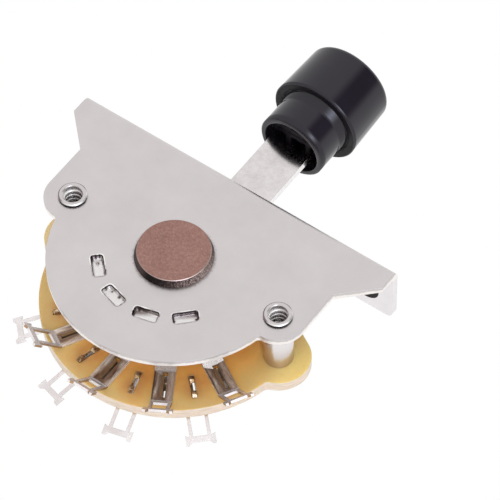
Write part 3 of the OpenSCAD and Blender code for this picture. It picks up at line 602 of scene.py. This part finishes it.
# The back terminals' prongs come through to the front, where they are bent over
def dress_prongs():
    for node in ("back_common_terminal", "back_terminal_1", "back_terminal_2", "back_terminal_3"):
        obj = nodes[node]
        obj.data.materials.append(MATERIALS["clinched"])
        for face in obj.data.polygons:
            if (obj.matrix_world @ face.center / MM).y < PIVOT[1] + WAFER_FRONT + 0.02:
                face.material_index = 1


dress_prongs()


def new_piece(name, mesh, body, slot, *replaced):
    obj = bpy.data.objects.new(name, mesh)
    scene.collection.objects.link(obj)
    paint(obj, slot)
    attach(obj, body)
    if replaced:
        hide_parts(*replaced)
    return obj


def at_pivot(x, z, depth):
    """A point of the pivot frame, depth counted back from the plate's front face, in mm."""
    return Vector((PIVOT[0] + x, PIVOT[1] + depth, PIVOT[2] + z)) * MM


def rings_mesh(name, rings, closed_path=False, cap=None):
    """Skin over rings of equal length; each ring is a closed loop of points. cap closes the last ring on a point."""
    bm = bmesh.new()
    loops = [[bm.verts.new(p) for p in ring] for ring in rings]
    pairs = list(zip(loops, loops[1:]))
    if closed_path:
        pairs.append((loops[-1], loops[0]))
    for one, two in pairs:
        for i in range(len(one)):
            j = (i + 1) % len(one)
            bm.faces.new((one[i], one[j], two[j], two[i]))
    if cap is not None:
        tip = bm.verts.new(cap)
        last = loops[-1]
        for i in range(len(last)):
            bm.faces.new((last[i], last[(i + 1) % len(last)], tip))
    bmesh.ops.recalc_face_normals(bm, faces=bm.faces)
    mesh = bpy.data.meshes.new(name)
    bm.to_mesh(mesh)
    bm.free()
    mesh.shade_smooth()
    return mesh


def join_meshes(name, meshes):
    bm = bmesh.new()
    for mesh in meshes:
        bm.from_mesh(mesh)
        bpy.data.meshes.remove(mesh)
    joined = bpy.data.meshes.new(name)
    bm.to_mesh(joined)
    bm.free()
    return joined


def filleted(corners, steps=4):
    """Closed profile from (x, y, radius) corners, each corner rounded by its own radius."""
    made = []
    count = len(corners)
    for i, (x, y, r) in enumerate(corners):
        here = Vector((x, y))
        if r <= 0:
            made.append((x, y))
            continue
        before = (Vector(corners[i - 1][:2]) - here).normalized()
        after = (Vector(corners[(i + 1) % count][:2]) - here).normalized()
        half = before.angle(after) / 2
        reach = r / math.tan(half)
        centre = here + (before + after).normalized() * (r / math.sin(half))
        start, end = here + before * reach - centre, here + after * reach - centre
        turn = start.angle_signed(end)
        for k in range(steps + 1):
            swing = Matrix.Rotation(-turn * k / steps, 2)
            p = centre + swing @ start
            made.append((p.x, p.y))
    return made


def turned(name, profile, place, sides=96):
    """Turned ring: a closed profile of (radius, height) swept round; place(x, y, height) gives the point."""
    rings = []
    for k in range(sides):
        a = 2 * math.pi * k / sides
        rings.append([place(r * math.cos(a), r * math.sin(a), h) for r, h in profile])
    return rings_mesh(name, rings, closed_path=True)


def thread(name, place, r_wall, r_crest, start, end, pitch, steps=28):
    """Thread ridge on a bore's wall, from height start to end."""
    turns = (end - start) / pitch
    rings = []
    total = int(turns * steps)
    for k in range(total + 1):
        a = 2 * math.pi * k / steps
        h = start + (end - start) * k / total
        fade = min(1.0, 3 * k / steps, 3 * (total - k) / steps)
        crest = r_wall + (r_crest - r_wall) * fade
        c, s = math.cos(a), math.sin(a)
        rings.append([place(r * c, r * s, h + dh) for r, dh in (
            (r_wall + 0.02, -0.45 * pitch), (crest, -0.04 * pitch), (crest, 0.14 * pitch),
            (r_wall + 0.02, 0.45 * pitch))])
    return rings_mesh(name, rings)


# Posts: a turned tube with its rim rolled over the plate; painted shade under the rim and down the bore, painted
# highlights on the rim's bevel, the bore's mouth and the thread towards the lit side
RIM_LIT = Vector((0.94, -0.34))
BORE_LIT = Vector((-0.816, -0.577))


def rim_tone(r, h, c, s):
    """Painted light and shade of a post at radius r and height h, in the direction (c, s)."""
    lit = max(0.0, Vector((c, s)).dot(RIM_LIT))
    # Painted shade down the bore and under the rim; painted highlights on the bore's mouth and the rim's bevel, on
    # their lit side
    if r < 1.36:
        return 0.10 if h > -0.30 else 0.55 + 0.45 * max(0.0, Vector((c, s)).dot(BORE_LIT))
    if h > -0.29:
        return 0.02
    if h > -0.44 and r > 1.7:
        return 0.40 + 0.60 * lit ** 0.7
    return 0.635


def add_tone(mesh, tones):
    layer = mesh.attributes.new("tone", "FLOAT", "POINT")
    layer.data.foreach_set("value", [max(0.0, min(1.0, t)) for t in tones])


def make_post(node, x0):
    profile = filleted([
        (1.30, WAFER_FRONT, 0.06), (2.00, WAFER_FRONT, 0.10), (2.00, 1.0, 0.0), (1.57, 1.0, 0.0),
        (1.57, 0.0, 0.0), (1.82, 0.0, 0.0), (1.90, -0.22, 0.03), (1.94, -0.31, 0.04), (1.76, -0.45, 0.05),
        (1.42, -0.45, 0.04), (1.30, -0.34, 0.04)])
    place = lambda x, z, d: at_pivot(x0 + x, z, d)
    mesh = turned(node + "_turned", profile, place)
    piece = new_piece(node + "_turned", mesh, "frame", "bright_nickel", node)
    mesh.materials[0] = MATERIALS["post_nickel"]
    mesh.materials.append(MATERIALS["rim_nickel"])
    mesh.materials.append(MATERIALS["bore_nickel"])
    turns = [2 * math.pi * k / 96 for k in range(96)]
    add_tone(mesh, [rim_tone(r, h, math.cos(a), math.sin(a)) for a in turns for r, h in profile])
    for face in mesh.polygons:
        away = math.hypot(face.center.x / MM - x0, face.center.z / MM - PIVOT[2])
        depth = face.center.y / MM - PIVOT[1]
        if away < 1.36 and depth > -0.42:
            face.material_index = 2
        elif depth < 0.05:
            face.material_index = 1
    mesh.set_sharp_from_angle(angle=math.radians(40))
    ridge = thread(node + "_thread", place, 1.30, 1.02, 0.22, 4.3, 0.85)
    new_piece(node + "_thread", ridge, "frame", "bright_nickel")
    ridge.materials[0] = MATERIALS["bore_nickel"]
    # Painted light on the thread: brighter towards the lit side, darker deeper in
    tones = []
    for vert in ridge.vertices:
        way = Vector((vert.co.x / MM - x0, vert.co.z / MM - PIVOT[2]))
        deep = vert.co.y / MM - PIVOT[1]
        tones.append(0.82 + 0.34 * way.normalized().dot(BORE_LIT) - 0.03 * deep)
    add_tone(ridge, tones)
    return piece


def make_hole_threads():
    for side, name in ((-1, "left"), (1, "right")):
        place = lambda x, y, h: Vector((side * 20.65 + x, y, h)) * MM
        ridge = thread(name + "_hole_thread", place, 1.45, 1.27, -0.62, -0.16, 0.3)
        new_piece(name + "_hole_thread", ridge, "frame", "nickel_plate")
        # Painted shade on the hole's thread
        ridge.materials[0] = MATERIALS["shaded_nickel"]


# Detent pockets: torn lips with a painted highlight on their far side, painted shade at the top of the far walls, and
# bright floors in the plate's four pockets; in the last two the floors darken towards the far side, painted shade.
# Each pocket has its own tears and dark spots; (across, along, size, strength) in mm from its centre.
POCKET_SPOTS = (
    ((-0.03, -0.78, 0.42, 1.0), (0.60, -1.50, 0.40, 1.0), (0.10, -1.62, 0.35, 0.9), (-0.40, -1.62, 0.3, 0.8),
     (-0.75, 0.95, 0.35, 0.8), (-0.70, 1.45, 0.3, 0.7)),
    ((-0.55, 0.40, 0.32, 1.0), (-0.45, -0.90, 0.32, 0.8), (0.0, -1.62, 0.25, 0.9), (-0.65, 1.10, 0.2, 0.5),
     (0.20, 1.66, 0.3, 0.8), (-0.40, 1.60, 0.3, 0.8)),
    ((0.55, -0.85, 0.28, 0.95), (0.15, -1.68, 0.30, 1.0), (-0.60, -1.15, 0.30, 0.9), (-0.30, 1.66, 0.3, 0.6)),
    ((0.0, -1.50, 0.38, 0.75), (0.20, 1.35, 0.36, 0.95), (-0.60, 1.40, 0.30, 0.8), (-0.70, -0.5, 0.2, 0.4)),
)
POCKET_LEVELS = ((0.18, 0.0, "lip"), (0.10, -0.035, "lip"), (0.04, -0.04, "lip"), (0.0, -0.01, "line"),
                 (-0.06, 0.06, "line"), (-0.09, 0.16, "wall"), (-0.10, 0.30, "wall"), (-0.13, 0.44, "wall"),
                 (-0.18, 0.55, "wall"), (-0.26, 0.61, "floor"), (-0.36, 0.64, "floor"), (-0.48, 0.65, "floor"),
                 (-0.60, 0.65, "floor"), (-0.72, 0.65, "floor"))
FAR_SIDE = Vector((-0.595, 0.803))


def pocket_outline(grow):
    """Rounded rectangle round a pocket's centre, grown by grow mm: 76 points."""
    half = (max(0.825 + grow, 0.05), max(1.70 + grow, 0.3))
    r = min(max(0.4 + grow, 0.04), half[0])
    ring = []
    for q in range(4):
        su, sv = (1, -1, -1, 1)[q], (1, 1, -1, -1)[q]
        cu, cv = (half[0] - r) * su, (half[1] - r) * sv
        for k in range(7):
            a = math.pi / 2 * (q + k / 6)
            ring.append(Vector((cu + r * math.cos(a), cv + r * math.sin(a))))
        after = (q + 1) % 4
        start = ring[-1]
        a = math.pi / 2 * (q + 1)
        end = Vector(((half[0] - r) * (1, -1, -1, 1)[after] + r * math.cos(a),
                      (half[1] - r) * (1, 1, -1, -1)[after] + r * math.sin(a)))
        ring.extend(start.lerp(end, k / 13) for k in range(1, 13))
    return ring


def make_pockets():
    random.seed(11)
    meshes = []
    for i, spots in enumerate(POCKET_SPOTS):
        turn = math.radians(-135 + 30 * i)
        out_way = Vector((math.cos(turn), math.sin(turn)))
        side_way = Vector((-out_way.y, out_way.x))
        waves = [(random.uniform(0, 6.3), n, random.uniform(0.5, 1.0) / n) for n in (3, 4, 6, 9)]
        rings, tones = [], []
        for grow, depth, part in POCKET_LEVELS:
            ring, row = [], []
            for p in pocket_outline(grow):
                a = math.atan2(p.y, p.x)
                wave = sum(size * math.sin(n * a + phase) for phase, n, size in waves)
                edge = p.normalized()
                far = (edge.x * out_way + edge.y * side_way).dot(FAR_SIDE)
                near_lip = max(0.0, 1 - abs(grow) / 0.18)
                q = p + edge * (0.10 * wave * near_lip * (0.6 + 0.8 * max(0.0, far)))
                lift = -0.05 * max(0.0, wave) * near_lip * max(0.0, far)
                flat = q.x * out_way + q.y * side_way + 9.95 * out_way
                ring.append(at_pivot(flat.x, flat.y, depth + lift))
                # Painted light in the tones: a painted highlight on the lip's far side, painted shade at the top of the
                # far wall and, in the last two pockets, across the floor towards the far side
                if part == "lip":
                    tone = 0.66 + 0.40 * max(0.0, far) ** 0.5 - 0.10 * max(0.0, -far)
                elif part == "line":
                    tone = 0.12 + 0.25 * max(0.0, wave)
                elif part == "wall":
                    tone = (0.76, 0.80, 0.52, 0.50)[i] + 0.12 * wave - (0.30 if depth < 0.2 else 0.0) * max(0.0, far)
                else:
                    away = (q.x * out_way + q.y * side_way).dot(FAR_SIDE)
                    tone = 0.80 if i < 2 else 0.82 - 0.36 * min(1.0, max(0.0, away / 0.6))
                for u, v, size, strength in spots:
                    tone *= 1 - strength * math.exp(-((q.x - u) ** 2 + (q.y - v) ** 2) / (0.5 * size) ** 2)
                row.append(tone)
            rings.append(ring)
            tones.extend(row)
        mesh = rings_mesh("pocket", rings, cap=at_pivot(*(9.95 * out_way), 0.65))
        tones.append(0.8)
        add_tone(mesh, tones)
        meshes.append(mesh)
    joined = join_meshes("detent_pocket_faces", meshes)
    new_piece("detent_pocket_faces", joined, "frame", "nickel_plate")
    joined.materials[0] = MATERIALS["pressed_nickel"]


# Plain soft studio light; the white surround shows to camera, mirror and glass rays
def make_light():
    world = bpy.data.worlds.new("world")
    scene.world = world
    world.use_nodes = True
    tree = world.node_tree
    back = tree.nodes["Background"]
    back.inputs["Color"].default_value = (1.0, 1.0, 1.0, 1.0)
    path = tree.nodes.new("ShaderNodeLightPath")
    seen = None
    for ray in ("Is Camera Ray", "Is Glossy Ray", "Is Transmission Ray"):
        if seen is None:
            seen = path.outputs[ray]
            continue
        top = tree.nodes.new("ShaderNodeMath")
        top.operation = "MAXIMUM"
        tree.links.new(seen, top.inputs[0])
        tree.links.new(path.outputs[ray], top.inputs[1])
        seen = top.outputs[0]
    level = tree.nodes.new("ShaderNodeMapRange")
    tree.links.new(seen, level.inputs["Value"])
    level.inputs["To Min"].default_value = 0.95
    level.inputs["To Max"].default_value = 1.0
    tree.links.new(level.outputs["Result"], back.inputs["Strength"])


def lamp(name, direction, distance, size, power, spread=180.0):
    data = bpy.data.lights.new(name, "AREA")
    data.shape = "DISK"
    data.size = size
    data.energy = power
    data.spread = math.radians(spread)
    obj = bpy.data.objects.new(name, data)
    aim = Vector((0.0, -2.0, -6.0)) * MM
    way = Vector(direction).normalized()
    obj.location = aim + way * distance
    obj.rotation_mode = "QUATERNION"
    obj.rotation_quaternion = way.to_track_quat("Z", "Y")
    obj.visible_glossy = False
    scene.collection.objects.link(obj)
    return obj


make_post("left_post", -POST_X)
make_post("right_post", POST_X)
make_hole_threads()
make_pockets()

make_light()
lamp("key", (-0.2, -0.95, -0.1), 0.6, 0.5, 0.8)
lamp("fill", (0.65, -0.45, -0.9), 0.6, 0.5, 3.5)


def card(name, azimuth, elevation, width_deg, height_deg, level, soft=0.3):
    """A card round the knob, from an azimuth about +Z, that only mirror rays see; it fades out at its borders."""
    bm = bmesh.new()
    reach, rows, shades = 0.5, [], []
    count = (24, 10)
    for i in range(count[1] + 1):
        e = i / count[1] - 0.5
        row = []
        for k in range(count[0] + 1):
            w = k / count[0] - 0.5
            a = math.radians(azimuth + width_deg * w)
            h = math.radians(elevation + e * height_deg)
            row.append(bm.verts.new(Vector((math.cos(h) * math.cos(a), math.cos(h) * math.sin(a), math.sin(h))) * reach
                                    + Vector((0.0, 0.0, 0.015))))
            fade = min(1.0, (0.5 - abs(w)) / soft) * min(1.0, (0.5 - abs(e)) / soft)
            shades.append(fade * fade * (3 - 2 * fade))
        rows.append(row)
    for low, high in zip(rows, rows[1:]):
        for k in range(count[0]):
            bm.faces.new((low[k], low[k + 1], high[k + 1], high[k]))
    mesh = bpy.data.meshes.new(name)
    bm.to_mesh(mesh)
    bm.free()
    layer = mesh.attributes.new("fade", "FLOAT", "POINT")
    layer.data.foreach_set("value", shades)
    obj = bpy.data.objects.new(name, mesh)
    scene.collection.objects.link(obj)
    mat = bpy.data.materials.new(name)
    mat.use_nodes = True
    tree = mat.node_tree
    fade = tree.nodes.new("ShaderNodeAttribute")
    fade.attribute_name = "fade"
    shade = tree.nodes.new("ShaderNodeMix")
    shade.data_type = "RGBA"
    tree.links.new(fade.outputs["Fac"], shade.inputs["Factor"])
    shade.inputs["A"].default_value = (1.0, 1.0, 1.0, 1.0)
    shade.inputs["B"].default_value = (*level, 1.0)
    glow = tree.nodes.new("ShaderNodeEmission")
    tree.links.new(shade.outputs["Result"], glow.inputs["Color"])
    tree.links.new(glow.outputs[0], tree.nodes["Material Output"].inputs["Surface"])
    mesh.materials.append(mat)
    obj.visible_camera = obj.visible_diffuse = obj.visible_shadow = obj.visible_transmission = False
    return obj


def make_floor():
    bm = bmesh.new()
    bmesh.ops.create_circle(bm, cap_ends=True, segments=64, radius=4.0)
    mesh = bpy.data.meshes.new("floor")
    bm.to_mesh(mesh)
    bm.free()
    floor = bpy.data.objects.new("floor", mesh)
    floor.location.z = -0.45
    scene.collection.objects.link(floor)
    mat = bpy.data.materials.new("floor")
    mat.use_nodes = True
    tree = mat.node_tree
    pale = tree.nodes["Principled BSDF"]
    pale.inputs["Base Color"].default_value = (0.9, 0.9, 0.9, 1.0)
    pale.inputs["Roughness"].default_value = 0.9
    white = tree.nodes.new("ShaderNodeEmission")
    path = tree.nodes.new("ShaderNodeLightPath")
    either = tree.nodes.new("ShaderNodeMath")
    either.operation = "MAXIMUM"
    tree.links.new(path.outputs["Is Camera Ray"], either.inputs[0])
    tree.links.new(path.outputs["Is Glossy Ray"], either.inputs[1])
    mix = tree.nodes.new("ShaderNodeMixShader")
    tree.links.new(either.outputs[0], mix.inputs["Fac"])
    tree.links.new(pale.outputs[0], mix.inputs[1])
    tree.links.new(white.outputs[0], mix.inputs[2])
    tree.links.new(mix.outputs[0], tree.nodes["Material Output"].inputs["Surface"])
    mesh.materials.append(mat)


make_floor()
card("dark_card", -37.0, 36.0, 82.0, 60.0, (0.2, 0.2, 0.21))
card("bright_card", -39.0, -31.0, 54.0, 38.0, (4.6, 4.9, 6.0), 0.5)
